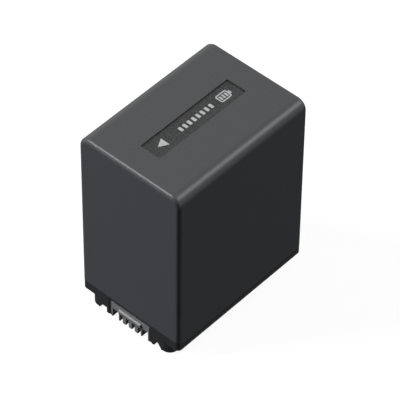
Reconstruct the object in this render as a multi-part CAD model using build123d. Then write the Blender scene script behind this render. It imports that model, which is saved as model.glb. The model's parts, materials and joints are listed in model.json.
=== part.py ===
from build123d import *

import os

# Rechargeable camcorder battery pack: six upright lithium-ion cells in a two-part moulded case,
# with slide-on rails and a slotted terminal holder under one end.
# X runs across the width, Y along the depth with the terminal end at -Y, Z is up.
# The origin lies on the platform's underside, below the middle of the case. Sizes are in millimetres.

# Cells, two columns of three, standing upright
CELL_D = 14.0
CELL_L = 48.45
CELL_GAP = 0.2
CELL_BEVEL = 0.5
CELL_SHOULDER_H = 0.6
BUTTON_D = 5.8

# Upper case
SIDE_WALL = 1.2
END_WALL = 1.0
TOP_WALL = 1.3
END_CLEARANCE = 0.3
TOP_EDGE_R = 3.0
END_EDGE_R = 1.1
RECESS_L = 30.2
RECESS_W = 6.1
RECESS_DEPTH = 0.3
RECESS_CORNER_R = 0.45
CASE_RIB_T = 0.8
CASE_RIB_REACH = 2.6
CASE_RIB_FOOT = 5.0

# Base cover: band, lip, platform and rails
BAND_END_H = 3.0
BAND_SIDE_H = 2.0
BAND_CORNER_R = 1.2
BAND_FOOT_CHAMFER = 0.3
SEAM_GAP_H = 0.25
SEAM_GAP_IN = 0.2
TRAY_FLOOR = 1.0
LIP_T = 0.5
LIP_RISE = 1.6
LIP_CLEARANCE = 0.05
LIP_L = 38.0
FLANGE_T = 1.2
FLANGE_CORNER_R = 2.45
FLANGE_CHAMFER = 0.25
GROOVE_H = 2.05
RAIL_REACH = 2.35
FRONT_WALL_T = 1.2
STEM_CORNER_R = 0.8
STEM_WALL = 1.6
STEM_SIDE = 0.65
PLATFORM_REAR_GAP = 1.6
NOTCH_L = 5.5
NOTCH_R = 0.6
FRONT_NOTCH_Y = -8.6
REAR_NOTCH_Y = 8.0
LATCH_W = 6.0
LATCH_L = 3.0
LATCH_DEPTH = 2.0
LATCH_WALL = 1.8
LATCH_CORNER_R = 0.6
CHANNEL_H = 1.7
CHANNEL_ROOF_W = 1.35
CHANNEL_MOUTH_W = 2.5
CHANNEL_L = 8.0
WINDOW_WALL = 1.5
REBATE_W = 0.75
REBATE_DEPTH = 0.12
REBATE_RISE = 0.5
FLOOR_T = 1.0

# Terminal holder
HOLDER_L = 9.3
HOLDER_CLEARANCE = 0.05
HOLDER_RISE = 2.0
HOLDER_FACE_T = 0.9
SHOULDER_REACH = 0.9
SHOULDER_SETBACK = 1.2
LEG_T = 0.45
THIN_RIB_T = 0.375
NARROW_PITCH = 2.0
NARROW_W = 0.95
WIDE_W = 2.0
WIDE_SLOT_EXTRA_H = 0.5
SLOT_L = 7.5
NOSE_W = 7.2
NOSE_REACH = 0.5
NOSE_FACE_H = 0.65
NOSE_TOP_DROP = 1.05

# Contacts
CONTACT_T = 0.2
CONTACT_CLEARANCE = 0.05
CONTACT_SETBACK = 2.2
LEAF_T = 0.15
LEAF_L = 4.6
LEAF_FOOT_Z = 0.7
LEAF_TIP_CHAMFER = 0.45
NARROW_TAIL_W = 0.5
WIDE_TAIL_W = 1.1
TAIL_OVERLAP = 1.6

# Circuit board and what is on it
BOARD_L = 26.0
BOARD_T = 0.8
BOARD_CLEARANCE = 0.2
BOARD_CORNER_R = 0.6
BOARD_RIB_H = 0.45
BOARD_RIB_T = 1.0
BOARD_RIB_PITCH = 9.9
PIN_D = 1.4
PIN_CLEARANCE = 0.06
PIN_INSET = 1.5
PIN_RISE = 0.5
CHIP_LEAD_T = 0.2
CHIP_LEAD_W = 0.3
CHIP_LEAD_REACH = 0.7
CHIP_LEAD_PITCH = 0.65
CHIP_BEVEL = 0.15
END_CAP_STEP = 0.04
CAPACITOR_PITCH = 1.6

# Chips: place from the board's middle, then length, width and height
GAUGE_CHIP = (-0.4, 0.0, 5.0, 4.4, 1.0)
PROTECTION_CHIP = (-6.0, 3.2, 3.0, 2.6, 0.9)
SWITCH_1 = (-6.0, -3.4, 3.0, 3.0, 1.0)
SWITCH_2 = (5.4, 6.0, 3.0, 3.0, 1.0)

# Two-ended parts: place from the board's middle, length, width, height and end cap
SENSE_RESISTOR = (-6.6, 7.2, 3.2, 1.6, 0.6, 0.5)
CHIP_FUSE = (6.4, -6.0, 3.2, 2.5, 0.8, 0.6)
THERMISTOR = (0.0, -6.6, 1.6, 0.8, 0.6, 0.3)
FIRST_CAPACITOR = (5.6, -2.4, 0.8, 1.6, 0.8, 0.2)

# Straps, plate, lead and sheets
STRAP_T = 0.2
STRAP_W = 6.0
STRAP_END = 3.5
STRAP_TAB_W = 3.0
STRAP_TAB_REACH = 0.5
STRAP_TAB_DY = 9.6
WELD_SLIT_W = 0.6
WELD_SLIT_L = 3.6
LEAD_D = 1.2
LEAD_CLEARANCE = 0.15
SHEET_T = 0.8
SHEET_MARGIN = 0.15
PAD_T = 0.6

# Worked out from the sizes above
SIDE_CLEARANCE = LIP_T + 2 * LIP_CLEARANCE
COLUMN_X = (CELL_D + CELL_GAP) / 2
ROW_PITCH = CELL_D + CELL_GAP
CASE_INNER_X = COLUMN_X + CELL_D / 2 + SIDE_CLEARANCE
CASE_INNER_Y = ROW_PITCH + CELL_D / 2 + END_CLEARANCE
HALF_W = CASE_INNER_X + SIDE_WALL
HALF_D = CASE_INNER_Y + END_WALL
PLATFORM_H = FLANGE_T + GROOVE_H
TRAY_TOP = PLATFORM_H + TRAY_FLOOR
SHEET_TOP = TRAY_TOP + SHEET_T
CELL_BASE = SHEET_TOP + STRAP_T
CELL_TOP = CELL_BASE + CELL_L
PLATE_TOP = CELL_TOP + STRAP_T
CEILING = PLATE_TOP + PAD_T
CASE_TOP = CEILING + TOP_WALL
SEAM_END = PLATFORM_H + BAND_END_H
SEAM_SIDE = PLATFORM_H + BAND_SIDE_H
INNER_EDGE_R = TOP_EDGE_R - SIDE_WALL
LIP_OUTER_X = CASE_INNER_X - LIP_CLEARANCE
LIP_INNER_X = LIP_OUTER_X - LIP_T
NARROW_XS = [NARROW_PITCH * step for step in (-1.5, -0.5, 0.5, 1.5)]
WIDE_X = NARROW_XS[-1] + NARROW_W / 2 + THIN_RIB_T + WIDE_W / 2
HOLDER_HALF_W = WIDE_X + WIDE_W / 2 + LEG_T
WINDOW_HALF_W = HOLDER_HALF_W + HOLDER_CLEARANCE
CHANNEL_X = WINDOW_HALF_W + WINDOW_WALL
STEM_HALF_W = CHANNEL_X + CHANNEL_MOUTH_W + STEM_SIDE
FLANGE_HALF_W = STEM_HALF_W + RAIL_REACH
CAVITY_HALF_W = STEM_HALF_W - STEM_WALL
FRONT = -HALF_D
PLATFORM_REAR = HALF_D - PLATFORM_REAR_GAP
HOLDER_REAR = FRONT + HOLDER_L
HOLDER_TOP = PLATFORM_H + HOLDER_RISE
BOARD_FRONT = HOLDER_REAR + BOARD_CLEARANCE
BOARD_REAR = BOARD_FRONT + BOARD_L
BOARD_MID_Y = (BOARD_FRONT + BOARD_REAR) / 2
BOARD_HALF_W = CAVITY_HALF_W - BOARD_CLEARANCE
BOARD_BOTTOM = FLOOR_T + BOARD_RIB_H
BOARD_TOP = BOARD_BOTTOM + BOARD_T
CAVITY_REAR = BOARD_REAR + BOARD_CLEARANCE
NARROW_SLOT_H = BOARD_TOP + CONTACT_T
WIDE_SLOT_H = NARROW_SLOT_H + WIDE_SLOT_EXTRA_H
SLOT_REAR = FRONT + SLOT_L
PIN_X = BOARD_HALF_W - PIN_INSET
PIN_YS = (BOARD_FRONT + PIN_INSET, BOARD_REAR - PIN_INSET)
LEAD_Y = ROW_PITCH / 2
STRAP_TAB_X = COLUMN_X - STRAP_W / 2 - STRAP_TAB_REACH
STRAP_TAB_Y = BOARD_MID_Y + STRAP_TAB_DY


def block(x0, x1, y0, y1, z0, z1):
    """Box between two corners."""
    size = (x1 - x0, y1 - y0, z1 - z0)
    return Pos((x0 + x1) / 2, (y0 + y1) / 2, (z0 + z1) / 2) * Box(*size)


def slab(x0, x1, y0, y1, z0, z1, corner_r):
    """Upright plate with a rounded-rectangle plan."""
    plan = Pos((x0 + x1) / 2, (y0 + y1) / 2, z0) * RectangleRounded(x1 - x0, y1 - y0, corner_r)
    return extrude(plan, z1 - z0)


def both_sides(piece):
    """The piece and its mirror image across the width."""
    return piece + mirror(piece, Plane.YZ)


def case_block(half_w, half_d, foot, top, edge_r):
    """Box whose two long top edges are rounded: its end view carried along the depth."""
    end_view = Pos(0, (foot + top) / 2) * Rectangle(2 * half_w, top - foot)
    upper_corners = end_view.vertices().group_by(Axis.Y)[-1]
    end_view = fillet(upper_corners, edge_r)
    return extrude(Plane.XZ * end_view, half_d, both=True)


def case_ribs():
    """Thin upright ribs inside the case that stand in the gaps between the cells."""
    foot = CELL_BASE + CASE_RIB_FOOT
    half_t = CASE_RIB_T / 2
    ribs = []
    for side in (-1, 1):
        for row in (-0.5, 0.5):
            middle = row * ROW_PITCH
            x_edges = sorted((side * (CASE_INNER_X - CASE_RIB_REACH), side * (CASE_INNER_X + SIDE_WALL / 2)))
            ribs.append(block(*x_edges, middle - half_t, middle + half_t, foot, CEILING - INNER_EDGE_R))
        y_edges = sorted((side * (CASE_INNER_Y - CASE_RIB_REACH), side * (CASE_INNER_Y + END_WALL / 2)))
        ribs.append(block(-half_t, half_t, *y_edges, foot, CEILING - INNER_EDGE_R))
    return ribs


def upper_case():
    """Moulded shell, open below, with rounded edges and the shallow print recess in its top."""
    body = case_block(HALF_W, HALF_D, SEAM_SIDE, CASE_TOP, TOP_EDGE_R)
    end_edges = body.faces().sort_by(Axis.Y)[0].edges() + body.faces().sort_by(Axis.Y)[-1].edges()
    rounded = end_edges.filter_by(lambda edge: edge.center().Z > SEAM_SIDE)
    body = fillet(rounded, END_EDGE_R)
    for end in (-1, 1):
        y_edges = sorted((end * CASE_INNER_Y, end * 2 * HALF_D))
        body -= block(-2 * HALF_W, 2 * HALF_W, *y_edges, 0, SEAM_END)
    body -= case_block(CASE_INNER_X, CASE_INNER_Y, 0, CEILING, INNER_EDGE_R)
    body += case_ribs()
    half_l = RECESS_L / 2
    half_w = RECESS_W / 2
    floor = CASE_TOP - RECESS_DEPTH
    return body - slab(-half_w, half_w, -half_l, half_l, floor, CASE_TOP + RECESS_DEPTH, RECESS_CORNER_R)


def base_cover():
    """Tray with the visible band: raised at the ends, low at the sides with a shadow gap under the case."""
    tray = slab(-HALF_W, HALF_W, -HALF_D, HALF_D, PLATFORM_H, SEAM_END, BAND_CORNER_R)
    tray = chamfer(tray.faces().sort_by(Axis.Z)[0].edges(), BAND_FOOT_CHAMFER)
    tray -= block(-2 * HALF_W, 2 * HALF_W, -CASE_INNER_Y, CASE_INNER_Y, SEAM_SIDE, 2 * SEAM_END)
    x_edges = (HALF_W - SEAM_GAP_IN, 2 * HALF_W)
    tray -= both_sides(block(*x_edges, -CASE_INNER_Y, CASE_INNER_Y, SEAM_SIDE - SEAM_GAP_H, SEAM_END))
    tray -= block(-LIP_INNER_X, LIP_INNER_X, -CASE_INNER_Y, CASE_INNER_Y, TRAY_TOP, SEAM_END)
    lip = block(LIP_INNER_X, LIP_OUTER_X, -LIP_L / 2, LIP_L / 2, TRAY_TOP, SEAM_SIDE + LIP_RISE)
    return tray + both_sides(lip) - platform_stem() - terminal_window()


def platform_stem():
    """Upright core of the platform, which the band rings."""
    return slab(-STEM_HALF_W, STEM_HALF_W, FRONT, PLATFORM_REAR, 0, TRAY_TOP, STEM_CORNER_R)


def rail_flange():
    """Flange round the foot of the stem, notched twice on each side where a battery plate's claws enter."""
    flange = slab(-FLANGE_HALF_W, FLANGE_HALF_W, FRONT, PLATFORM_REAR, 0, FLANGE_T, FLANGE_CORNER_R)
    rims = flange.faces().sort_by(Axis.Z)[0].edges() + flange.faces().sort_by(Axis.Z)[-1].edges()
    flange = chamfer(rims, FLANGE_CHAMFER)
    for middle in (FRONT_NOTCH_Y, REAR_NOTCH_Y):
        y_edges = (middle - NOTCH_L / 2, middle + NOTCH_L / 2)
        notch = slab(STEM_HALF_W, 2 * FLANGE_HALF_W, *y_edges, -FLANGE_T, 2 * FLANGE_T, NOTCH_R)
        flange -= both_sides(notch)
    return flange


def front_wall():
    """Wall that closes both grooves at the terminal end, with the flange's rounded outline."""
    x_edges = (-FLANGE_HALF_W, FLANGE_HALF_W)
    outline = slab(*x_edges, FRONT, PLATFORM_REAR, FLANGE_T / 2, PLATFORM_H, FLANGE_CORNER_R)
    return outline & block(*x_edges, FRONT, FRONT + FRONT_WALL_T, 0, PLATFORM_H)


def guide_channel():
    """Channel beside the terminal window, open below and in front, with one slanted wall."""
    roof_end = CHANNEL_X + CHANNEL_ROOF_W
    mouth_end = CHANNEL_X + CHANNEL_MOUTH_W
    section = Polyline(
        (CHANNEL_X, 0),
        (CHANNEL_X, CHANNEL_H),
        (roof_end, CHANNEL_H),
        (mouth_end, 0),
        close=True,
    )
    front_plane = Plane((0, FRONT, 0), x_dir=(1, 0, 0), z_dir=(0, -1, 0))
    return extrude(front_plane * make_face(section), -CHANNEL_L)


def terminal_window():
    """Space in the base that the terminal holder and its shoulders fill, with a shallow rebate in front."""
    opening = block(-WINDOW_HALF_W, WINDOW_HALF_W, FRONT, HOLDER_REAR, 0, HOLDER_TOP + HOLDER_CLEARANCE)
    shoulder_x = WINDOW_HALF_W + SHOULDER_REACH
    opening += block(-shoulder_x, shoulder_x, FRONT + SHOULDER_SETBACK, HOLDER_REAR, PLATFORM_H, TRAY_TOP)
    rebate_x = WINDOW_HALF_W + REBATE_W
    rebate_top = HOLDER_TOP + HOLDER_CLEARANCE + REBATE_RISE
    opening += block(-rebate_x, rebate_x, FRONT, FRONT + REBATE_DEPTH, 0, rebate_top)
    return opening


def board_seats():
    """Ribs across the cavity floor that carry the board, and the pins that locate it."""
    seats = []
    for step in (-1, 0, 1):
        middle = BOARD_MID_Y + step * BOARD_RIB_PITCH
        y_edges = (middle - BOARD_RIB_T / 2, middle + BOARD_RIB_T / 2)
        seats.append(block(-CAVITY_HALF_W, CAVITY_HALF_W, *y_edges, FLOOR_T, BOARD_BOTTOM))
    pin_top = BOARD_TOP + PIN_RISE
    for side, y in zip((-1, 1), PIN_YS):
        seats.append(Pos(side * PIN_X, y, (FLOOR_T + pin_top) / 2) * Cylinder(PIN_D / 2, pin_top - FLOOR_T))
    return seats


def rail_platform():
    """Foot of the base: a stem over a wider flange, so that a groove runs down each side behind the front
    wall, with the channels, the terminal window, the board's cavity and the latch pocket cut into it."""
    body = platform_stem() + rail_flange() + front_wall()
    body -= both_sides(guide_channel())
    body -= terminal_window()
    body -= block(-CAVITY_HALF_W, CAVITY_HALF_W, HOLDER_REAR, CAVITY_REAR, FLOOR_T, TRAY_TOP)
    body += board_seats()
    latch_front = CAVITY_REAR + LATCH_WALL
    y_edges = (latch_front, latch_front + LATCH_L)
    return body - slab(-LATCH_W / 2, LATCH_W / 2, *y_edges, -LATCH_DEPTH, LATCH_DEPTH, LATCH_CORNER_R)


def holder_nose():
    """Ledge across the narrow slots: a flat top, a short face and a slope back to the slots."""
    top = HOLDER_TOP - NOSE_TOP_DROP
    face_foot = top - NOSE_FACE_H
    section = Polyline(
        (0, top),
        (NOSE_REACH, top),
        (NOSE_REACH, face_foot),
        (0, NARROW_SLOT_H),
        (-HOLDER_FACE_T, NARROW_SLOT_H),
        (-HOLDER_FACE_T, top),
        close=True,
    )
    side_plane = Plane((0, FRONT, 0), x_dir=(0, -1, 0), z_dir=(-1, 0, 0))
    return extrude(side_plane * make_face(section), NOSE_W / 2, both=True)


def slot_cut(x, width, height, tail_w):
    """One contact slot, open in front and below, with the hole for its contact's tail behind it."""
    half = width / 2
    tail_half = tail_w / 2 + CONTACT_CLEARANCE
    cut = block(x - half, x + half, FRONT, SLOT_REAR, 0, height)
    return cut + block(x - tail_half, x + tail_half, SLOT_REAR, HOLDER_REAR, BOARD_TOP, NARROW_SLOT_H)


def terminal_holder():
    """Slotted moulding that carries the contacts; its shoulders rest on the base."""
    body = block(-HOLDER_HALF_W, HOLDER_HALF_W, FRONT, HOLDER_REAR, 0, TRAY_TOP)
    body += block(-HOLDER_HALF_W, HOLDER_HALF_W, FRONT, FRONT + HOLDER_FACE_T, 0, HOLDER_TOP)
    shoulder_x = HOLDER_HALF_W + SHOULDER_REACH
    shoulder_front = FRONT + SHOULDER_SETBACK + HOLDER_CLEARANCE
    body += block(-shoulder_x, shoulder_x, shoulder_front, HOLDER_REAR, PLATFORM_H, TRAY_TOP)
    body += holder_nose()
    for x in NARROW_XS:
        body -= slot_cut(x, NARROW_W, NARROW_SLOT_H, NARROW_TAIL_W)
    for x in (-WIDE_X, WIDE_X):
        body -= slot_cut(x, WIDE_W, WIDE_SLOT_H, WIDE_TAIL_W)
    return body


def contact(x, slot_w, tail_w):
    """Spring contact folded from strip: a bridge, two leaves down the slot and a tail to the board."""
    half = slot_w / 2 - CONTACT_CLEARANCE
    tail_half = tail_w / 2
    front = FRONT + CONTACT_SETBACK
    piece = block(-half, half, front, SLOT_REAR, BOARD_TOP, NARROW_SLOT_H)
    leaf = block(half - LEAF_T, half, front, front + LEAF_L, LEAF_FOOT_Z, BOARD_TOP)
    lower_corners = leaf.edges().filter_by(Axis.X).group_by(Axis.Z)[0]
    piece += both_sides(chamfer(lower_corners, LEAF_TIP_CHAMFER))
    piece += block(-tail_half, tail_half, SLOT_REAR, BOARD_FRONT + TAIL_OVERLAP, BOARD_TOP, NARROW_SLOT_H)
    return Pos(x, 0, 0) * piece


def circuit_board():
    """Board with rounded corners and two holes for the locating pins."""
    x_edges = (-BOARD_HALF_W, BOARD_HALF_W)
    board = slab(*x_edges, BOARD_FRONT, BOARD_REAR, BOARD_BOTTOM, BOARD_TOP, BOARD_CORNER_R)
    for side, y in zip((-1, 1), PIN_YS):
        hole = Cylinder(PIN_D / 2 + PIN_CLEARANCE, 2 * BOARD_T)
        board -= Pos(side * PIN_X, y, BOARD_TOP - BOARD_T / 2) * hole
    return board


def chip(dx, dy, length, width, height):
    """Leaded chip on the board, placed from the board's middle, with flat leads along its two sides."""
    foot = BOARD_TOP
    body = block(-width / 2, width / 2, -length / 2, length / 2, foot, foot + height)
    body = chamfer(body.faces().sort_by(Axis.Z)[-1].edges(), CHIP_BEVEL)
    reach = width / 2 + CHIP_LEAD_REACH
    leads = int(length // CHIP_LEAD_PITCH)
    for index in range(leads):
        y = (index - (leads - 1) / 2) * CHIP_LEAD_PITCH
        body += block(-reach, reach, y - CHIP_LEAD_W / 2, y + CHIP_LEAD_W / 2, foot, foot + CHIP_LEAD_T)
    return Pos(dx, BOARD_MID_Y + dy, 0) * body


def two_ended(dx, dy, length, width, height, cap):
    """Two-ended chip part: a block with thicker plated caps at its ends, placed from the board's middle."""
    film = END_CAP_STEP
    core = block(-width / 2, width / 2, -length / 2, length / 2, BOARD_TOP + film, BOARD_TOP + height - film)
    for end in (-1, 1):
        y_edges = sorted((end * (length / 2 - cap), end * length / 2))
        core += block(-width / 2 - film, width / 2 + film, *y_edges, BOARD_TOP, BOARD_TOP + height)
    return Pos(dx, BOARD_MID_Y + dy, 0) * core


def chip_capacitors():
    """Row of four small capacitors beside the gauge chip."""
    first = two_ended(*FIRST_CAPACITOR)
    return Compound([Pos(0, CAPACITOR_PITCH * index, 0) * first for index in range(4)])


def cell():
    """Sealed cylindrical cell, turned about its axis: sleeved can, bevelled shoulder and raised button."""
    radius = CELL_D / 2
    rim = CELL_L - CELL_SHOULDER_H
    button = BUTTON_D / 2
    with BuildPart() as can:
        with BuildSketch(Plane.XZ):
            with BuildLine():
                Polyline(
                    (0, 0),
                    (radius, 0),
                    (radius, rim - CELL_BEVEL),
                    (radius - CELL_BEVEL, rim),
                    (button, rim),
                    (button, CELL_L),
                    (0, CELL_L),
                    close=True,
                )
            make_face()
        revolve(axis=Axis.Z)
    return can.part


def cell_nodes():
    """Six cells: one column stands with its button up, the other with its button down."""
    upright = cell()
    upturned = Pos(0, 0, CELL_L) * Rot(180, 0, 0) * upright
    nodes = {}
    number = 0
    for row in (-1, 0, 1):
        for side, can in ((-1, upright), (1, upturned)):
            number += 1
            nodes[f"cell_{number}"] = Pos(side * COLUMN_X, row * ROW_PITCH, CELL_BASE) * can
    return nodes


def weld_slits(x, z0, z1):
    """Slits over one column of cells, between the two weld spots on each."""
    half_w = WELD_SLIT_W / 2
    half_l = WELD_SLIT_L / 2
    return [
        block(x - half_l, x + half_l, row * ROW_PITCH - half_w, row * ROW_PITCH + half_w, z0, z1)
        for row in (-1, 0, 1)
    ]


def series_plate():
    """Nickel ladder over all six cells: three rungs and a spine."""
    half_w = STRAP_W / 2
    reach = COLUMN_X + STRAP_END
    plate = block(-half_w, half_w, -ROW_PITCH - half_w, ROW_PITCH + half_w, CELL_TOP, PLATE_TOP)
    for row in (-1, 0, 1):
        middle = row * ROW_PITCH
        plate += block(-reach, reach, middle - half_w, middle + half_w, CELL_TOP, PLATE_TOP)
    for x in (-COLUMN_X, COLUMN_X):
        plate -= weld_slits(x, CELL_TOP, PLATE_TOP)
    return plate


def column_strap(side):
    """Nickel strap under one column of cells, with a leg bent down to the board."""
    half_w = STRAP_W / 2
    reach = ROW_PITCH + STRAP_END
    strap = block(COLUMN_X - half_w, COLUMN_X + half_w, -reach, reach, SHEET_TOP, CELL_BASE)
    strap -= weld_slits(COLUMN_X, SHEET_TOP, CELL_BASE)
    y_edges = (STRAP_TAB_Y - STRAP_TAB_W / 2, STRAP_TAB_Y + STRAP_TAB_W / 2)
    strap += block(STRAP_TAB_X, COLUMN_X - half_w, *y_edges, SHEET_TOP, CELL_BASE)
    strap += block(STRAP_TAB_X, STRAP_TAB_X + STRAP_T, *y_edges, BOARD_TOP, CELL_BASE)
    if side < 0:
        strap = mirror(strap, Plane.YZ)
    return strap


def support_sheet():
    """Stiff insulating sheet on the tray, with slits for the straps' legs and a hole for the lead."""
    half_w = LIP_INNER_X - SHEET_MARGIN
    half_d = CASE_INNER_Y - SHEET_MARGIN
    sheet = block(-half_w, half_w, -half_d, half_d, TRAY_TOP, SHEET_TOP)
    x_edges = (STRAP_TAB_X - SHEET_MARGIN, STRAP_TAB_X + STRAP_T + SHEET_MARGIN)
    y_reach = STRAP_TAB_W / 2 + SHEET_MARGIN
    slit = block(*x_edges, STRAP_TAB_Y - y_reach, STRAP_TAB_Y + y_reach, TRAY_TOP, SHEET_TOP)
    hole = Cylinder(LEAD_D / 2 + LEAD_CLEARANCE, 2 * SHEET_T)
    return sheet - both_sides(slit) - Pos(0, LEAD_Y, (TRAY_TOP + SHEET_TOP) / 2) * hole


def mid_tap_lead():
    """Sleeved lead that stands in the gap between four cells, from the board to the series plate."""
    length = CELL_TOP - BOARD_TOP
    return Pos(0, LEAD_Y, BOARD_TOP + length / 2) * Cylinder(LEAD_D / 2, length)


def top_pad():
    """Foam pad pressed between the series plate and the case's ceiling."""
    half_w = CASE_INNER_X - INNER_EDGE_R
    half_d = CASE_INNER_Y - SHEET_MARGIN
    return block(-half_w, half_w, -half_d, half_d, PLATE_TOP, CEILING)


def all_nodes():
    """Every piece of the pack by its name."""
    nodes = {
        "upper_case": upper_case(),
        "base_cover": base_cover(),
        "rail_platform": rail_platform(),
        "terminal_holder": terminal_holder(),
        "contact_negative": contact(-WIDE_X, WIDE_W, WIDE_TAIL_W),
        "contact_positive": contact(WIDE_X, WIDE_W, WIDE_TAIL_W),
        "circuit_board": circuit_board(),
        "gauge_chip": chip(*GAUGE_CHIP),
        "protection_chip": chip(*PROTECTION_CHIP),
        "switch_transistor_1": chip(*SWITCH_1),
        "switch_transistor_2": chip(*SWITCH_2),
        "sense_resistor": two_ended(*SENSE_RESISTOR),
        "chip_fuse": two_ended(*CHIP_FUSE),
        "thermistor": two_ended(*THERMISTOR),
        "chip_capacitors": chip_capacitors(),
        "series_plate": series_plate(),
        "positive_strap": column_strap(1),
        "negative_strap": column_strap(-1),
        "mid_tap_lead": mid_tap_lead(),
        "support_sheet": support_sheet(),
        "top_pad": top_pad(),
    }
    for number, x in enumerate(NARROW_XS, start=1):
        nodes[f"contact_signal_{number}"] = contact(x, NARROW_W, NARROW_TAIL_W)
    nodes.update(cell_nodes())
    return nodes


os.makedirs("parts", exist_ok=True)
for name, solid in all_nodes().items():
    export_step(solid, f"parts/{name}.step")
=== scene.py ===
# %% [markdown]
# # A camcorder battery pack, dressed for the studio
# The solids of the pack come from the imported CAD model, in metres. This script gives each of them the finish
# of its real material, prints the marks in its lid, and sets up the camera, the paper and the light. It
# never moves or reshapes a solid: whatever has a real size is already right when the file is loaded.

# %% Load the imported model
import json
import math

import bpy
import numpy as np
from mathutils import Matrix, Vector


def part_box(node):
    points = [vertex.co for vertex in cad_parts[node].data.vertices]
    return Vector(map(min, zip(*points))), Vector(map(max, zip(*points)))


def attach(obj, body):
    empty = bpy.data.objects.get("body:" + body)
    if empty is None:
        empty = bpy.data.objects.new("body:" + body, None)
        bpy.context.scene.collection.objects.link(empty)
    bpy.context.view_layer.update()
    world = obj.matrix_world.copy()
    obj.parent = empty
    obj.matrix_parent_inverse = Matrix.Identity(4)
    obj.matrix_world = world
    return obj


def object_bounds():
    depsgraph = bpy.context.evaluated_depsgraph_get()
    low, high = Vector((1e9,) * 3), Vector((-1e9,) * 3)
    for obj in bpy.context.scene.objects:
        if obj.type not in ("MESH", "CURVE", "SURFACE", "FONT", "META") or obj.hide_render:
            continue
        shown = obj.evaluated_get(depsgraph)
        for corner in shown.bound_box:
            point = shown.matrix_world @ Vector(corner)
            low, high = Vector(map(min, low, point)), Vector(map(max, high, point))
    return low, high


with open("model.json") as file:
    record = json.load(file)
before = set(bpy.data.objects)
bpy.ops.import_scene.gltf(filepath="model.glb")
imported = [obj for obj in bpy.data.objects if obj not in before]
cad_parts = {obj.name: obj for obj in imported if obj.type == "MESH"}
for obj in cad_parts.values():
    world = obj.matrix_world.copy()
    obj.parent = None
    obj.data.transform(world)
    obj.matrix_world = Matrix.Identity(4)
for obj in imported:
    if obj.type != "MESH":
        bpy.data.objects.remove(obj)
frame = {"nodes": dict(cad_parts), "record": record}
cad_low, cad_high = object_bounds()
MM = 0.001  # lengths are in metres, so one in millimetres is written as a number times MM
print("solids:", len(frame["nodes"]), "box in mm:", [round(v / MM, 2) for v in (cad_high - cad_low)])

# %% [markdown]
# ## Helpers for materials
# A material is a small graph of nodes. It could be wired by hand in the shader editor, but then nobody could
# read or repeat it, so one helper adds a node, sets its values and links its inputs. Colours are written as
# sRGB hex values, as a paint program shows them, and one function makes them linear, as Blender wants them.

# %% Colour and node helpers


def linear(hex_colour):
    """sRGB hex to linear RGBA: c / 12.92 up to 0.04045, else ((c + 0.055) / 1.055) to the power 2.4."""
    c = np.array([int(hex_colour[i:i + 2], 16) for i in (1, 3, 5)]) / 255
    rgb = np.where(c <= 0.04045, c / 12.92, ((c + 0.055) / 1.055) ** 2.4)
    return (*rgb.tolist(), 1.0)


def bare_tree(owner):
    """The empty node tree of a new material or world."""
    owner.use_nodes = True
    owner.node_tree.nodes.clear()
    return owner.node_tree


def add_node(tree, kind, values=None, links=None, **settings):
    """Adds a node of that kind, with its settings, its input values and links from other nodes' outputs."""
    node = tree.nodes.new(kind)
    for name, value in settings.items():
        setattr(node, name, value)
    for socket, value in (values or {}).items():
        node.inputs[socket].default_value = value
    for socket, source in (links or {}).items():
        tree.links.new(source, node.inputs[socket])
    return node


print("mid grey #808080 is", round(linear("#808080")[0], 3), "in linear light")

# %% [markdown]
# ## One recipe for a grained surface
# Nearly every finish on the pack is one even material with a grain: the pits left by a spark-eroded mould,
# the streaks of rolled metal, the lines of an extruded sleeve. A picture of each could be wrapped round
# its piece, but a noise field needs no picture and no unwrapping. Its grain can be given in millimetres
# along X, Y and Z, so that a long grain becomes a streak. One field drives colour, gloss and bump together,
# because on a real surface they come from the same pits and ridges.

# %% Grained finish
MIX_A, MIX_B, MIX_RESULT = 6, 7, 2  # where a Mix node keeps its two colours and its resulting colour
SOFT, CRISP = 0.2, 0.05  # how far from its middle value the noise reaches full dark or full light


def noise_field(tree, place, grain_mm, reach=SOFT):
    """Noise of place / grain size, axis by axis, spread so that 0.5 - reach is 0 and 0.5 + reach is 1."""
    scale = [1 / (size * MM) for size in grain_mm]
    grains = add_node(tree, "ShaderNodeMapping", {"Scale": scale}, {"Vector": place}).outputs["Vector"]
    noise = add_node(tree, "ShaderNodeTexNoise", {"Scale": 1.0, "Detail": 2.0}, {"Vector": grains})
    spread = {"From Min": 0.5 - reach, "From Max": 0.5 + reach}
    return add_node(tree, "ShaderNodeMapRange", spread, {"Value": noise.outputs["Fac"]}).outputs["Result"]


def grained(name, dark, light, grain_mm, depth_mm, roughness, metallic=0.0, specular=0.5):
    """A surface whose noise n gives its colour, dark to light, its roughness, and its height n * depth."""
    material = bpy.data.materials.new(name)
    tree = bare_tree(material)
    place = add_node(tree, "ShaderNodeTexCoord").outputs["Object"]
    grain = noise_field(tree, place, grain_mm)
    ends = {MIX_A: linear(dark), MIX_B: linear(light)}
    colour = add_node(tree, "ShaderNodeMix", ends, {0: grain}, data_type="RGBA").outputs[MIX_RESULT]
    gloss_ends = {"To Min": roughness[0], "To Max": roughness[1]}
    gloss = add_node(tree, "ShaderNodeMapRange", gloss_ends, {"Value": grain}).outputs["Result"]
    height = {"Height": grain}
    bump = add_node(tree, "ShaderNodeBump", {"Distance": depth_mm * MM}, height).outputs["Normal"]
    even = {"Metallic": metallic, "Specular IOR Level": specular}
    varied = {"Base Color": colour, "Roughness": gloss, "Normal": bump}
    shader = add_node(tree, "ShaderNodeBsdfPrincipled", even, varied)
    add_node(tree, "ShaderNodeOutputMaterial", links={"Surface": shader.outputs["BSDF"]})
    return material


print("a grained finish varies base colour, roughness and normal")

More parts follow.
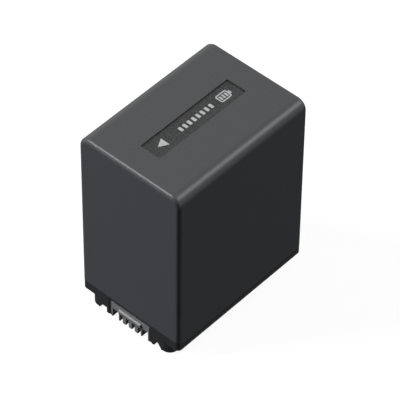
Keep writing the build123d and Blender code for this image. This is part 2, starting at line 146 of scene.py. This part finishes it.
# %% [markdown]
# ## A second look inside a box
# Some solids have two looks: the recess in the lid is darker and crisper than the rest, a chip has tinned
# leads beside its black body, and a cell's sleeve stops short of its steel ends. Each could be cut in two,
# but the real ones are one moulding or one part. Painting the second look where a point lies in a box keeps
# them whole, and a Compare node for each axis of the Object coordinates is enough to tell.

# %% Inlay


def inlay(material, low, high, dark, light, grain_mm, depth_mm, reach=SOFT):
    """Repaints a grained material in the box from low to high, in metres, with a grain of its own.

    The mask is the product over X, Y and Z of |coordinate - middle| <= half. It is also taken from Metallic
    where the material is a metal, because the second look never is."""
    tree = material.node_tree
    place = tree.nodes["Texture Coordinate"].outputs["Object"]
    inputs = tree.nodes["Principled BSDF"].inputs
    mask = None
    axes = add_node(tree, "ShaderNodeSeparateXYZ", links={"Vector": place}).outputs
    for axis, a, b in zip(axes, low, high):
        within = {1: (a + b) / 2, 2: (b - a) / 2}
        inside = add_node(tree, "ShaderNodeMath", within, {0: axis}, operation="COMPARE").outputs[0]
        both = {0: inside, 1: inside if mask is None else mask}
        mask = add_node(tree, "ShaderNodeMath", links=both, operation="MULTIPLY").outputs[0]
    grain = noise_field(tree, place, grain_mm, reach)
    ends = {MIX_A: linear(dark), MIX_B: linear(light)}
    patch = add_node(tree, "ShaderNodeMix", ends, {0: grain}, data_type="RGBA").outputs[MIX_RESULT]
    layers = {0: mask, MIX_A: inputs["Base Color"].links[0].from_socket, MIX_B: patch}
    painted = add_node(tree, "ShaderNodeMix", links=layers, data_type="RGBA").outputs[MIX_RESULT]
    height = add_node(tree, "ShaderNodeMath", links={0: mask, 1: grain}, operation="MULTIPLY").outputs[0]
    relief = {"Height": height, "Normal": inputs["Normal"].links[0].from_socket}
    bump = add_node(tree, "ShaderNodeBump", {"Distance": depth_mm * MM}, relief).outputs["Normal"]
    tree.links.new(painted, inputs["Base Color"])
    tree.links.new(bump, inputs["Normal"])
    if inputs["Metallic"].default_value > 0:
        metal = add_node(tree, "ShaderNodeMath", {0: 1.0}, {1: mask}, operation="SUBTRACT").outputs[0]
        tree.links.new(metal, inputs["Metallic"])
    return material


print("an inlay masks a box of Object coordinates")

# %% [markdown]
# ## The moulded case and base
# Both halves of the housing are injection-moulded polycarbonate blend. Their mould was spark-eroded, which
# leaves even, matt pits that spread the highlights. The lid's recess was eroded more deeply, so its pits
# hold shade and read as crisp dark specks. Displaced geometry could carve the pits, at millions of faces: a
# bump is enough for something this shallow. The real pits are about 0.08 mm wide. They are drawn 0.35 to
# 0.45 mm wide here, because finer ones wouldn't show.

# %% Case and base plastics
CASE_GRAIN_MM = (0.45, 0.45, 0.45)
RECESS_GRAIN_MM = (0.35, 0.35, 0.35)
RECESS_W = 6.1 * MM
RECESS_L = 30.2 * MM
RECESS_DEPTH = 0.3 * MM
case_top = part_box("upper_case")[1].z

# satin dark grey: a broad soft sheen on the rounded edges, none of the sparkle of polish
case_plastic = grained("polycarbonate blend, spark-eroded moulding, dark grey", "#343638", "#3B3D3F",
                       grain_mm=CASE_GRAIN_MM, depth_mm=0.006, roughness=(0.37, 0.43), specular=0.45)
recess_low = (-RECESS_W / 2, -RECESS_L / 2, case_top - 2 * RECESS_DEPTH)
recess_high = (RECESS_W / 2, RECESS_L / 2, case_top - RECESS_DEPTH / 2)
inlay(case_plastic, recess_low, recess_high, "#010101", "#2A2B2D",
      grain_mm=RECESS_GRAIN_MM, depth_mm=0.02, reach=CRISP)
# a blacker, slightly glossier moulding: it mirrors the paper a little, so it shows grey near the seam
base_plastic = grained("polycarbonate blend, fine moulding, black", "#151617", "#1B1C1D",
                       grain_mm=CASE_GRAIN_MM, depth_mm=0.005, roughness=(0.34, 0.4), specular=0.8)
finishes = {"case_plastic": case_plastic, "base_plastic": base_plastic}
print("recess inlay under", round(recess_high[2] / MM, 2), "mm")

# %% [markdown]
# ## The terminal holder
# The grey comb that holds the contacts is moulded in polyamide, which is duller than the case and shows
# faint flow lines along the way it filled, here across the comb. The top of its small ledge is painted
# paler, a painted highlight for the light it catches. That could be a strip of its own, but it is one
# moulding with the comb, so it is an inlay. The flow lines are drawn 0.35 mm wide, wider than they are,
# so that they show.

# %% Holder plastic
FLOW_GRAIN_MM = (1.6, 0.35, 0.35)
LEDGE_DROP = 1.05 * MM
HIGHLIGHT_SKIN = 0.12 * MM
holder_low, holder_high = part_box("terminal_holder")
ledge_z = holder_high.z - LEDGE_DROP
case_front_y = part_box("upper_case")[0].y

# dull mid grey: almost no highlight, so the slots read as dark bars
holder_plastic = grained("polyamide, moulded, mid grey", "#5D5E60", "#676869",
                         grain_mm=FLOW_GRAIN_MM, depth_mm=0.004, roughness=(0.48, 0.6), specular=0.2)
# painted highlight: a pale patch over the ledge top stands for the light that it catches
painted_highlight_low = (holder_low.x, holder_low.y - HIGHLIGHT_SKIN, ledge_z - HIGHLIGHT_SKIN)
painted_highlight_high = (holder_high.x, case_front_y, ledge_z + HIGHLIGHT_SKIN)
inlay(holder_plastic, painted_highlight_low, painted_highlight_high, "#999A9C", "#ABACAE", grain_mm=FLOW_GRAIN_MM, depth_mm=0.004)
finishes["holder_plastic"] = holder_plastic
print("ledge inlay at", round(ledge_z / MM, 2), "mm")

# %% [markdown]
# ## Metals inside
# The contacts are stamped from spring brass and plated with gold, and the cells are joined by nickel strip.
# Rolling leaves fine streaks along the strip, which smear a highlight across it. Brushed looks are often
# made with an anisotropic shader, but streaks in the roughness survive the export. Real streaks are a few
# hundredths of a millimetre wide: they are drawn 0.15 to 0.25 mm wide, so that they show in a close view.

# %% Rolled metals
# warm yellow metal, with soft streaks along the spring
finishes["contact_plating"] = grained(
    "gold plate on spring brass, rolled", "#C4A04C", "#DEBE76",
    grain_mm=(0.15, 4.0, 4.0), depth_mm=0.001, roughness=(0.2, 0.34), metallic=1.0)
# warm grey metal, duller than the gold
finishes["nickel_strip"] = grained(
    "nickel strip, cold rolled", "#ABA79F", "#C6C2BA",
    grain_mm=(0.25, 6.0, 0.25), depth_mm=0.001, roughness=(0.26, 0.42), metallic=1.0)
print("metals: gold plate and nickel strip")

# %% [markdown]
# ## The cells
# Each cell is a nickel-plated steel can in a blue shrink sleeve. A sleeve drawn tight by heat has faint
# lengthwise lines and a gentle gloss, and it stops at the rims, where the steel shows. The sleeve could be a
# tube of its own, but at a tenth of a millimetre it is paint to the eye, so it is an inlay over the steel.

# %% Cell sleeve
RIM_H = 0.7 * MM
cell_low, cell_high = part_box("cell_1")

# bright plated steel at both ends, blue film between them
cell_sleeve = grained("polyester sleeve, heat-shrunk, blue, on plated steel", "#A9A8A4", "#C4C3BF",
                      grain_mm=(0.3, 0.3, 0.3), depth_mm=0.002, roughness=(0.26, 0.36), metallic=1.0)
sleeve_low = (cad_low.x, cad_low.y, cell_low.z + RIM_H)
sleeve_high = (cad_high.x, cad_high.y, cell_high.z - RIM_H)
inlay(cell_sleeve, sleeve_low, sleeve_high, "#275F85", "#35769D", grain_mm=(0.6, 0.6, 9.0), depth_mm=0.006)
finishes["cell_sleeve"] = cell_sleeve
print("sleeve from", round(sleeve_low[2] / MM, 2), "to", round(sleeve_high[2] / MM, 2), "mm")

# %% [markdown]
# ## The circuit board
# The board is glass-epoxy laminate under green solder resist. Copper tracks below the resist show as paler
# lines, and the glass weave as a faint mottle. Tracks could be drawn one by one, but on a board that is only
# seen when the pack is opened, a Brick texture gives the same tidy grid of lines at their real width.

# %% Board laminate
TRACK_W_MM = 0.1
TRACK_RUN_MM = 2.4
TRACK_PITCH_MM = 0.8
TRACK_COLOUR = "#3A8259"

# glossy deep green with paler lines
board = grained("glass-epoxy laminate, green solder resist", "#194E30", "#225F3C",
                grain_mm=(0.5, 0.5, 0.5), depth_mm=0.002, roughness=(0.22, 0.32))
tree = board.node_tree
place = tree.nodes["Texture Coordinate"].outputs["Object"]
in_mm = add_node(tree, "ShaderNodeMapping", {"Scale": [1 / MM] * 3}, {"Vector": place}).outputs["Vector"]
grid = {"Scale": 1.0, "Mortar Size": TRACK_W_MM, "Brick Width": TRACK_RUN_MM, "Row Height": TRACK_PITCH_MM}
tracks = add_node(tree, "ShaderNodeTexBrick", grid, {"Vector": in_mm}).outputs["Fac"]
base_colour = tree.nodes["Principled BSDF"].inputs["Base Color"]
layers = {0: tracks, MIX_A: base_colour.links[0].from_socket}
lined = add_node(tree, "ShaderNodeMix", {MIX_B: linear(TRACK_COLOUR)}, layers, data_type="RGBA")
tree.links.new(lined.outputs[MIX_RESULT], base_colour)
finishes["board_laminate"] = board
print("tracks", TRACK_W_MM, "mm wide")

# %% [markdown]
# ## Sleeve, sheet and foam
# The lead to the middle of the cells has an extruded PVC sleeve with faint lengthwise lines. The sheet under
# the cells is vulcanised fibre, pressed from paper, so its fibres show as short streaks. The pad over them
# is open-cell foam, all small black holes. Each could have a texture of its own, but the grained recipe with
# another grain and depth gives all three.

# %% Sleeve, sheet and foam finishes
# soft gloss red, as on any hook-up wire
finishes["lead_sleeve"] = grained(
    "PVC sleeve, extruded, red", "#A5211A", "#BD2E25",
    grain_mm=(0.3, 0.3, 8.0), depth_mm=0.003, roughness=(0.3, 0.42))
# dry grey board with a fibrous mottle
finishes["fibre_sheet"] = grained(
    "vulcanised fibre, pressed sheet, grey", "#8F8A7D", "#B2AD9F",
    grain_mm=(0.35, 1.8, 0.35), depth_mm=0.01, roughness=(0.6, 0.75))
# no highlight at all, only pits
finishes["foam"] = grained(
    "polyurethane foam, open-cell, black", "#141414", "#3A3A3A",
    grain_mm=(0.45, 0.45, 0.45), depth_mm=0.15, roughness=(0.85, 0.95))
print("finishes so far:", sorted(finishes))

# %% [markdown]
# ## Chips and two-ended parts
# A chip is black epoxy, filled with ground silica that gives it a fine speckle, with tinned leads at two
# sides. A chip resistor, fuse, thermistor or capacitor is a fired ceramic block with a tinned cap at each
# end. They could be modelled as body and metal apart, but each is one solid here. So it starts as tin, and
# its body is an inlay in the part's own box less the leads or caps.

# %% Chip and ceramic finishes
LEAD_REACH = 0.7 * MM
CAP_MM = {"sense_resistor": 0.5, "chip_fuse": 0.6, "thermistor": 0.3, "chip_capacitors": 0.2}
BODY_COLOURS = {
    "chip_resin": ("#19191B", "#272729"),
    "sense_resistor": ("#1D1E20", "#2A2B2E"),
    "chip_fuse": ("#8F9B8C", "#A6B1A3"),
    "thermistor": ("#3C4A3F", "#4C5B50"),
    "chip_capacitors": ("#97805F", "#B39C79"),
}
made_for_node = {}
for row in frame["record"]["subparts"]:
    node, slot = row["node"], row["material_slot"]
    if slot not in ("chip_resin", "chip_ceramic"):
        continue
    is_chip = slot == "chip_resin"
    low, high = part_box(node)
    trim = Vector((LEAD_REACH, 0, 0)) if is_chip else Vector((0, CAP_MM[node] * MM, 0))
    body = "epoxy moulding compound" if is_chip else "fired ceramic"
    # dull tin that catches the light beside a dark or earthy body
    tinned = grained(f"{body}, tinned ends, {node}", "#A8A8A6", "#C4C4C2",
                     grain_mm=(0.2, 0.2, 0.2), depth_mm=0.002, roughness=(0.3, 0.45), metallic=1.0)
    dark, light = BODY_COLOURS[slot if is_chip else node]
    made_for_node[node] = inlay(tinned, low + trim, high - trim, dark, light,
                                grain_mm=(0.15, 0.15, 0.15), depth_mm=0.004)
print("tinned parts:", sorted(made_for_node))

# %% [markdown]
# ## Dress the solids
# The record says which finish each solid takes. It could be set by hand for all of them, but reading the
# record keeps the scene and the CAD in step.

# %% Assign the finishes
for row in frame["record"]["subparts"]:
    mesh = frame["nodes"][row["node"]].data
    mesh.materials.clear()
    mesh.materials.append(made_for_node.get(row["node"]) or finishes[row["material_slot"]])

# %% [markdown]
# ## Marks printed in the recess
# The lid's recess carries light-grey screen print: an arrow that points the way the pack slides on, a row of
# charge bars and a plain battery sign. The print could be painted by a mask in the case's material, but its
# edges would blur when the finish is baked to a picture. A real print is a film of ink, so each mark is a
# closed film, hundredths of a millimetre thick, that lies on the recess floor.

# %% Ink and its film
INK_T = 0.012 * MM
INK_GAP = 0.002 * MM
INK_Z = case_top - RECESS_DEPTH + INK_GAP

# chalky light grey, slightly uneven where the screen's mesh left it thin
ink = grained("screen ink, light grey", "#9DA0A0", "#B6B9B9",
              grain_mm=(0.3, 0.3, 0.3), depth_mm=0.002, roughness=(0.55, 0.68))


def new_object(name, data):
    """An object for a mesh, camera or lamp, linked to the scene."""
    thing = bpy.data.objects.new(name, data)
    bpy.context.scene.collection.objects.link(thing)
    return thing


def mesh_object(name, points, faces, material):
    """A mesh object in one material. It sits at the origin, because its place is in its points."""
    mesh = bpy.data.meshes.new(name)
    mesh.from_pydata(points.reshape(-1, 3).tolist(), [], faces)
    mesh.materials.append(material)
    return new_object(name, mesh)


def ink_film(name, outer, inner=None):
    """A closed film over an outline of n points in mm, counter-clockwise, or between it and an inner one.

    Its grid is point number by ring number: foot and top of the outer outline, then top and foot of the
    inner one, where the last ring meets the first. With no inner outline, two n-gons close foot and top."""
    rings = [(outer, INK_Z), (outer, INK_Z + INK_T)]
    if inner is not None:
        rings += [(inner, INK_Z + INK_T), (inner, INK_Z)]
    points = np.array([np.column_stack([ring * MM, np.full(len(ring), z)]) for ring, z in rings])
    here = np.arange(points.shape[0] * points.shape[1]).reshape(points.shape[:2])
    above = np.roll(here, -1, axis=0)
    quads = np.stack([here, np.roll(here, -1, axis=1), np.roll(above, -1, axis=1), above], axis=-1)
    if inner is not None:
        faces = quads.reshape(-1, 4).tolist()
    else:
        faces = quads[0].tolist() + [here[0][::-1].tolist(), here[1].tolist()]
    film = mesh_object(name, points, faces, ink)
    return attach(film, "root")


def rounded_rectangle(y, width, length, radius, steps=6):
    """Outline about (0, y), in mm: four quarter circles of that radius, at a smaller rectangle's corners."""
    angles = (np.linspace(0, math.pi / 2, steps) + np.arange(4)[:, None] * math.pi / 2).ravel()
    sign_x = np.repeat([1, -1, -1, 1], steps)
    sign_y = np.repeat([1, 1, -1, -1], steps)
    xs = sign_x * (width / 2 - radius) + radius * np.cos(angles)
    ys = y + sign_y * (length / 2 - radius) + radius * np.sin(angles)
    return np.column_stack([xs, ys])


print("ink lies at", round(INK_Z / MM, 3), "mm")

# %% [markdown]
# ## Arrow and charge bars
# The arrow sits at the terminal end, and the bars run along the recess from it. They could be letters of a
# symbol font, but plain shapes of their own size in millimetres can be changed one by one, and need no font.

# %% Arrow and bars
ARROW_TIP_Y = -12.4
ARROW_L = 2.5
ARROW_HALF_W = 1.4
BAR_COUNT = 8
BAR_W = 1.5
BAR_L = 0.8
BAR_PITCH = 1.5
BAR_RADIUS = 0.2
FIRST_BAR_Y = -4.5

arrow_base = ARROW_TIP_Y + ARROW_L
triangle = np.array([(0, ARROW_TIP_Y), (ARROW_HALF_W, arrow_base), (-ARROW_HALF_W, arrow_base)])
marks = [ink_film("arrow", triangle)]
for number in range(BAR_COUNT):
    bar = rounded_rectangle(FIRST_BAR_Y + number * BAR_PITCH, BAR_W, BAR_L, BAR_RADIUS)
    marks.append(ink_film(f"charge_bar_{number + 1}", bar))
print("marks:", [mark.name for mark in marks])

# %% [markdown]
# ## Battery sign
# The sign at the far end is a battery seen from the side: a can with a button, and three levels in it. It
# could be one outline with holes, but each of its shapes is a film of its own, like the bars.

# %% Sign
SIGN_Y = 10.4
SIGN_W = 2.6
SIGN_L = 3.6
SIGN_LINE = 0.35
CAN_RADIUS = 0.5
HOLLOW_RADIUS = 0.15
BUTTON_GAP = 0.05
BUTTON_W = 1.0
BUTTON_L = 0.5
LEVEL_COUNT = 3
LEVEL_W = 1.3
LEVEL_L = 0.55
LEVEL_PITCH = 0.9
SMALL_RADIUS = 0.1

can = rounded_rectangle(SIGN_Y, SIGN_W, SIGN_L, CAN_RADIUS)
hollow = rounded_rectangle(SIGN_Y, SIGN_W - 2 * SIGN_LINE, SIGN_L - 2 * SIGN_LINE, HOLLOW_RADIUS)
button_y = SIGN_Y + SIGN_L / 2 + BUTTON_GAP + BUTTON_L / 2
button = rounded_rectangle(button_y, BUTTON_W, BUTTON_L, SMALL_RADIUS)
sign = [ink_film("battery_sign_can", can, hollow), ink_film("battery_sign_button", button)]
for number in range(LEVEL_COUNT):
    level_y = SIGN_Y + (number - (LEVEL_COUNT - 1) / 2) * LEVEL_PITCH
    level = rounded_rectangle(level_y, LEVEL_W, LEVEL_L, SMALL_RADIUS)
    sign.append(ink_film(f"battery_sign_level_{number + 1}", level))
print("sign:", [mark.name for mark in sign])

# %% [markdown]
# ## Camera
# The photograph was taken with a long lens from the front right and above. A camera could be pushed about
# until the picture looks right. This one was worked out instead from the pack's straight edges: the angles
# round the pack, in degrees, the distance, and how far beside and above the foot of the base band the
# camera's axis passes.

# %% Camera
VIEW_AZIMUTH = 41.724
VIEW_ELEVATION = 46.584
VIEW_ROLL = 0.667
VIEW_DISTANCE = 727.3 * MM
VIEW_ASIDE = 1.853 * MM
VIEW_ABOVE = 17.009 * MM
IMAGE_PX = 400
FOCAL_PX = 2946.7
SENSOR_MM = 36.0
CLIP_START = 10 * MM

azimuth, elevation, roll = (math.radians(a) for a in (VIEW_AZIMUTH, VIEW_ELEVATION, VIEW_ROLL))
flat = math.cos(elevation)
back = Vector((math.sin(azimuth) * flat, -math.cos(azimuth) * flat, math.sin(elevation)))
level_right = (-back).cross(Vector((0, 0, 1))).normalized()
level_up = level_right.cross(-back)
right = level_right * math.cos(roll) + level_up * math.sin(roll)
up = level_up * math.cos(roll) - level_right * math.sin(roll)
aim = Vector((0, 0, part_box("base_cover")[0].z))
camera_data = bpy.data.cameras.new("camera")
camera_data.sensor_width = SENSOR_MM
camera_data.lens = SENSOR_MM * FOCAL_PX / IMAGE_PX
camera_data.clip_start = CLIP_START
camera = new_object("camera", camera_data)
spot = aim + back * VIEW_DISTANCE + right * VIEW_ASIDE + up * VIEW_ABOVE
camera.matrix_world = Matrix.Translation(spot) @ Matrix((right, up, back)).transposed().to_4x4()
bpy.context.scene.camera = camera
print("lens", round(camera_data.lens, 1), "mm")

# %% [markdown]
# ## Paper floor
# The pack stands on pale paper that shows as plain white, as in a catalogue. More light could bleach it, but
# that would bleach the pack too, so the paper glows for the camera's rays and for reflections, and keeps a
# diffuse share that shows the pack's shadow. Rays that leave the pack's sides and meet the paper close by
# see it dimmed, as if dark flags hung there, because a bright floor makes a dark pack look milky.

# %% Floor
FLOOR_HALF = 3.0
FLOOR_GAP = 0.05 * MM
PAPER_GLOW = 0.9
PAPER_SHADE = "#7C7C7C"
PAPER_NEAR = 0.4
PAPER_DIM = 0.14
PAPER_TINT = "#E6ECF6"


def seen_rays(tree, nearest=None):
    """1 for rays from the camera and for mirrored or refracted rays, else 0. With nearest given, in metres,
    a mirrored or refracted ray counts only if it is longer than that."""
    path = add_node(tree, "ShaderNodeLightPath").outputs
    either = {0: path["Is Glossy Ray"], 1: path["Is Transmission Ray"]}
    mirrored = add_node(tree, "ShaderNodeMath", links=either, operation="MAXIMUM").outputs[0]
    if nearest is not None:
        length = {0: path["Ray Length"]}
        far = add_node(tree, "ShaderNodeMath", {1: nearest}, length, operation="GREATER_THAN").outputs[0]
        both = {0: mirrored, 1: far}
        mirrored = add_node(tree, "ShaderNodeMath", links=both, operation="MULTIPLY").outputs[0]
    either = {0: path["Is Camera Ray"], 1: mirrored}
    return add_node(tree, "ShaderNodeMath", links=either, operation="MAXIMUM").outputs[0]


def stage_sheet(name, middle, along, across, material):
    """A studio rectangle with the corners middle + s * along + t * across, where s and t are -1 or 1."""
    signs = np.array([(-1, -1), (1, -1), (1, 1), (-1, 1)])
    corners = np.array(middle) + signs @ np.array([along, across])
    sheet = mesh_object(name, corners, [(0, 1, 2, 3)], material)
    return sheet


paper = bpy.data.materials.new("paper, matt white")
tree = bare_tree(paper)
glow = add_node(tree, "ShaderNodeEmission", {"Strength": PAPER_GLOW}).outputs[0]
shade = add_node(tree, "ShaderNodeBsdfDiffuse", {"Color": linear(PAPER_SHADE)}).outputs[0]
bright = add_node(tree, "ShaderNodeAddShader", links={0: glow, 1: shade}).outputs[0]
faint = {"Color": linear(PAPER_TINT), "Strength": PAPER_DIM}
dim = add_node(tree, "ShaderNodeEmission", faint).outputs[0]
choice = {0: seen_rays(tree, PAPER_NEAR), 1: dim, 2: bright}
surface = add_node(tree, "ShaderNodeMixShader", links=choice).outputs[0]
add_node(tree, "ShaderNodeOutputMaterial", links={"Surface": surface})
floor_z = cad_low.z - FLOOR_GAP
stage_sheet("floor", (0, 0, floor_z), (FLOOR_HALF, 0, 0), (0, FLOOR_HALF, 0), paper)
print("floor at", round(floor_z / MM, 3), "mm")

# %% [markdown]
# ## Black cards
# The corner nearest to the camera is a dark line in the photograph, from the foot up into its bend at the
# lid, because its curve mirrors something dark in front of the pack. A darker stripe in the plastic would be
# wrong from any other side. Two black cards give the reflection instead: one lies on the floor before that
# corner, for the straight run, and one stands further out, for the bend. They are there for reflections
# alone: the camera doesn't see them, and they take no other light from the pack.

# %% Cards
CARD_HALF = 0.15
CARD_GAP = 1.0 * MM
CARD_LIFT = 0.1 * MM
UPRIGHT_TURN = math.radians(33)
UPRIGHT_AWAY = 0.25
UPRIGHT_HALF_H = 0.125

# dead black, so that nothing shows in them
black_card = grained("card, matt black", "#080808", "#0C0C0C",
                     grain_mm=(0.5, 0.5, 0.5), depth_mm=0.01, roughness=(0.85, 0.95))
corner = Vector((cad_high.x, case_front_y, cad_low.z + CARD_LIFT))
outwards = Vector((math.sin(UPRIGHT_TURN), -math.cos(UPRIGHT_TURN), 0))
sideways = Vector((-outwards.y, outwards.x, 0)) * CARD_HALF
lying_middle = corner + Vector((1, -1, 0)) * (CARD_GAP + CARD_HALF)
upright_middle = corner + outwards * UPRIGHT_AWAY + Vector((0, 0, UPRIGHT_HALF_H))
cards = [
    stage_sheet("lying_card", lying_middle, (CARD_HALF, 0, 0), (0, CARD_HALF, 0), black_card),
    stage_sheet("upright_card", upright_middle, sideways, (0, 0, UPRIGHT_HALF_H), black_card),
]
for card in cards:
    card.visible_camera = False
    card.visible_diffuse = False
    card.visible_shadow = False
print("cards:", [card.name for card in cards])

# %% [markdown]
# ## Lamps
# Soft boxes light the pack. Point lamps would be simpler, but give hard highlights, so all are area lamps.
# The key at the front left lights the terminal end and, at a slant, the lid. It is hidden from reflections,
# as a polarised lamp is, and the line box higher up draws the thin highlight along the front edge, and only
# that. The edge box behind at the right draws the sheen along the rounded edge and leaves the right side
# dark.

# %% Lamps
LAMP_AWAY = 0.9
KEY_FROM = (-0.68, -0.57, 0.44)
LINE_FROM = (-0.461, -0.29, 0.839)
EDGE_FROM = (0.45, 0.52, 0.73)


def soft_box(name, direction, size, radiance):
    """A square lamp that faces the pack's middle from that direction: power = radiance * pi * area."""
    lamp_data = bpy.data.lights.new(name, "AREA")
    lamp_data.size = size
    lamp_data.energy = radiance * math.pi * size ** 2
    lamp = new_object(name, lamp_data)
    towards = Vector(direction).normalized()
    facing = towards.to_track_quat("Z", "Y").to_matrix().to_4x4()
    lamp.matrix_world = Matrix.Translation((cad_low + cad_high) / 2 + towards * LAMP_AWAY) @ facing
    return lamp


key = soft_box("key box, front left", KEY_FROM, size=0.5, radiance=18.1)
key.visible_glossy = False
line = soft_box("line box, left", LINE_FROM, size=0.25, radiance=26.0)
line.visible_diffuse = False
edge = soft_box("edge box, back right", EDGE_FROM, size=0.35, radiance=8.5)
print("lamps:", [lamp.name for lamp in (key, line, edge)])

# %% [markdown]
# ## Surroundings
# A studio's walls fill the shadows a little. A closed room could be modelled round the pack, but a world of
# one colour does the same with no mesh. It is white to the camera and in reflections, as the paper is, and
# dim as a light, so that the boxes shape the pack.

# %% World and view
ROOM_LIGHT = 0.1
WHITE = linear("#FFFFFF")

world = bpy.data.worlds.new("studio")
bpy.context.scene.world = world
tree = bare_tree(world)
dim = add_node(tree, "ShaderNodeBackground", {"Color": WHITE, "Strength": ROOM_LIGHT}).outputs[0]
white = add_node(tree, "ShaderNodeBackground", {"Color": WHITE, "Strength": 1.0}).outputs[0]
sky = add_node(tree, "ShaderNodeMixShader", links={0: seen_rays(tree), 1: dim, 2: white}).outputs[0]
add_node(tree, "ShaderNodeOutputWorld", links={"Surface": sky})
bpy.context.scene.view_settings.view_transform = "Standard"
print("view transform:", bpy.context.scene.view_settings.view_transform)
